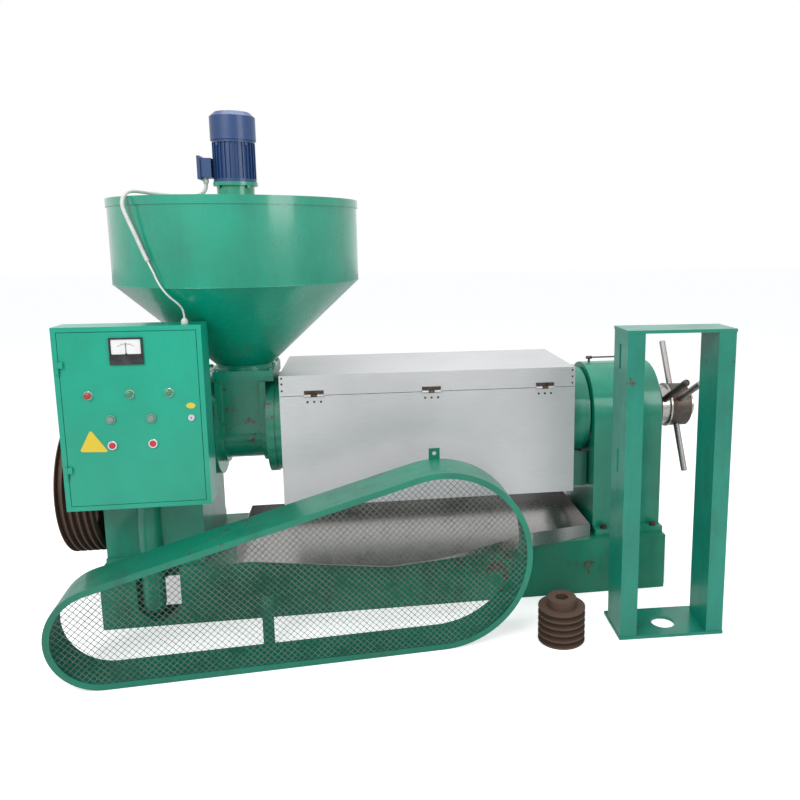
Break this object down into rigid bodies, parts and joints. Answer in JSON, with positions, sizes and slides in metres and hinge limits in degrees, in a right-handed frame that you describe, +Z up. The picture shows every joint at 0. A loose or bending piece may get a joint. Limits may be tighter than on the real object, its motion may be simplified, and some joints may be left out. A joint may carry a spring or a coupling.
{
  "type": "screw oil press",
  "caption": "Screw oil press with stirring hopper, geared belt drive, barred press cage under a stainless hood, oil tray, cake adjuster, control cabinet, belt guard and motor frame",
  "frame": {"origin": "centre of the base's foundation hole pattern, on the floor", "axes": "+X along the machine from the drive pulley to the adjusting nut, +Y to the back, away from the operator, +Z up"},
  "size_m": [2.68, 1.2033, 2.009],
  "materials": {
    "green_paint": "glossy hammered green enamel",
    "dark_green_paint": "flat green enamel, chipped at the edges",
    "cabinet_paint": "smooth glossy green enamel",
    "motor_paint": "satin dark blue enamel",
    "stainless": "brushed stainless sheet",
    "machined_steel": "turned steel, lightly oiled",
    "dark_steel": "dark oiled steel with brown rust",
    "rusty_iron": "rusty cast iron",
    "bar_steel": "ribbed reinforcing steel, worn",
    "mesh_wire": "woven steel wire",
    "meter_case": "black moulded plastic",
    "lamp_lens": "coloured clear plastic",
    "button_green": "grey green clear plastic",
    "button_red": "red plastic",
    "chrome_trim": "chrome plated",
    "cable_jacket": "white plastic jacket, dusty"
  },
  "bodies": {
    "press_frame": {"gearbox_housing": "green_paint", "gearbox_top_cover": "green_paint", "bearing_caps": "green_paint", "feed_housing": "green_paint", "hopper_shell": "green_paint", "hopper_lid": "green_paint", "motor_stool": "green_paint", "discharge_flange": "green_paint", "pedestal": "green_paint", "pedestal_cap": "green_paint", "cake_chute": "green_paint", "base_frame": "dark_green_paint", "guard_band": "dark_green_paint", "stand_channels": "dark_green_paint", "stand_plates": "dark_green_paint", "cabinet_brackets": "dark_green_paint", "cabinet_box": "cabinet_paint", "stirring_motor": "motor_paint", "motor_cowl": "motor_paint", "motor_terminal_box": "motor_paint", "press_cover": "stainless", "oil_tray": "stainless", "gearbox_bearings": "machined_steel", "cage_bars": "machined_steel", "cage_frame_lower": "dark_steel", "cage_frame_upper": "dark_steel", "clamp_bolts": "dark_steel", "adjusting_flange": "dark_steel", "cover_hinges": "dark_steel", "lubrication_pipe": "dark_steel", "motor_sheave": "rusty_iron", "guard_mesh": "mesh_wire", "cable_sleeve": "cable_jacket", "motor_cable": "cable_jacket", "cable_glands": "cable_jacket"},
    "drive": {"drive_pulley": "rusty_iron", "input_shaft": "machined_steel"},
    "intermediate": {"intermediate_gears": "machined_steel"},
    "output": {"output_gear": "machined_steel"},
    "thrust_carrier": {"thrust_sleeve": "machined_steel"},
    "worm": {"worm_shaft": "machined_steel", "feed_worm": "machined_steel", "press_worms": "machined_steel", "choke_cone": "machined_steel"},
    "adjusting": {"adjusting_screw": "machined_steel", "lock_collar": "machined_steel", "adjusting_hub": "dark_steel", "handle_bars": "bar_steel"},
    "stirring": {"stirrer": "machined_steel"},
    "cover_flap": {"cover_door": "stainless"},
    "hatch": {"hopper_hatch": "green_paint"},
    "cabinet_front": {"cabinet_door": "cabinet_paint", "ammeter": "meter_case", "indicator_lamps": "lamp_lens"},
    "needle": {"meter_needle": "meter_case"},
    "lock": {"door_lock": "chrome_trim"},
    "start_left": {"start_button_left": "button_green"},
    "start_right": {"start_button_right": "button_green"},
    "stop_left": {"stop_button_left": "button_red"},
    "stop_right": {"stop_button_right": "button_red"}
  },
  "joints": [
    {"name": "pulley_spin", "type": "hinge", "parent": "press_frame", "child": "drive", "pos_m": [-1.226, 0, 0.53], "axis": [1, 0, 0], "continuous": true},
    {"name": "intermediate_spin", "type": "hinge", "parent": "press_frame", "child": "intermediate", "pos_m": [-0.95, 0.0929, 0.61364], "axis": [1, 0, 0], "continuous": true},
    {"name": "output_spin", "type": "hinge", "parent": "press_frame", "child": "output", "pos_m": [-0.95, 0, 0.75], "axis": [1, 0, 0], "continuous": true},
    {"name": "worm_spin", "type": "hinge", "parent": "thrust_carrier", "child": "worm", "pos_m": [0.2, 0, 0.75], "axis": [1, 0, 0], "continuous": true},
    {"name": "adjust_turn", "type": "hinge", "parent": "thrust_carrier", "child": "adjusting", "pos_m": [1.25, 0, 0.75], "axis": [1, 0, 0], "range_deg": [-360, 360]},
    {"name": "thrust_slide", "type": "slide", "parent": "press_frame", "child": "thrust_carrier", "axis": [1, 0, 0], "range_m": [-0.006, 0.006]},
    {"name": "stirrer_spin", "type": "hinge", "parent": "press_frame", "child": "stirring", "pos_m": [-0.605, 0, 1.4], "axis": [0, 0, 1], "continuous": true},
    {"name": "cover_swing", "type": "hinge", "parent": "press_frame", "child": "cover_flap", "pos_m": [0.15, -0.261, 0.903], "axis": [-1, 0, 0], "range_deg": [0, 22]},
    {"name": "hatch_swing", "type": "hinge", "parent": "press_frame", "child": "hatch", "pos_m": [-0.7, 0.132, 1.672], "axis": [1, 0, 0], "range_deg": [0, 80]},
    {"name": "cabinet_swing", "type": "hinge", "parent": "press_frame", "child": "cabinet_front", "pos_m": [-1.171, -0.4623, 0.88], "axis": [0, 0, -1], "range_deg": [0, 115]},
    {"name": "needle_swing", "type": "hinge", "parent": "cabinet_front", "child": "needle", "pos_m": [-0.94, -0.4615, 1.1185], "axis": [0, 1, 0], "range_deg": [-40, 40]},
    {"name": "lock_turn", "type": "hinge", "parent": "cabinet_front", "child": "lock", "pos_m": [-0.736, -0.45, 0.88], "axis": [0, 1, 0], "range_deg": [-90, 0]},
    {"name": "start_left_press", "type": "slide", "parent": "cabinet_front", "child": "start_left", "axis": [0, 1, 0], "range_m": [0, 0.004], "stiffness_N_per_m": 400},
    {"name": "start_right_press", "type": "slide", "parent": "cabinet_front", "child": "start_right", "axis": [0, 1, 0], "range_m": [0, 0.004], "stiffness_N_per_m": 400},
    {"name": "stop_left_press", "type": "slide", "parent": "cabinet_front", "child": "stop_left", "axis": [0, 1, 0], "range_m": [0, 0.004], "stiffness_N_per_m": 400},
    {"name": "stop_right_press", "type": "slide", "parent": "cabinet_front", "child": "stop_right", "axis": [0, 1, 0], "range_m": [0, 0.004], "stiffness_N_per_m": 400}
  ],
  "couplings": [
    {"joint": "intermediate_spin", "follows": "pulley_spin", "ratio": -0.38889},
    {"joint": "output_spin", "follows": "pulley_spin", "ratio": 0.1047},
    {"joint": "worm_spin", "follows": "pulley_spin", "ratio": 0.1047},
    {"joint": "thrust_slide", "follows": "adjust_turn", "m_per_rad": 0.00095493}
  ]
}
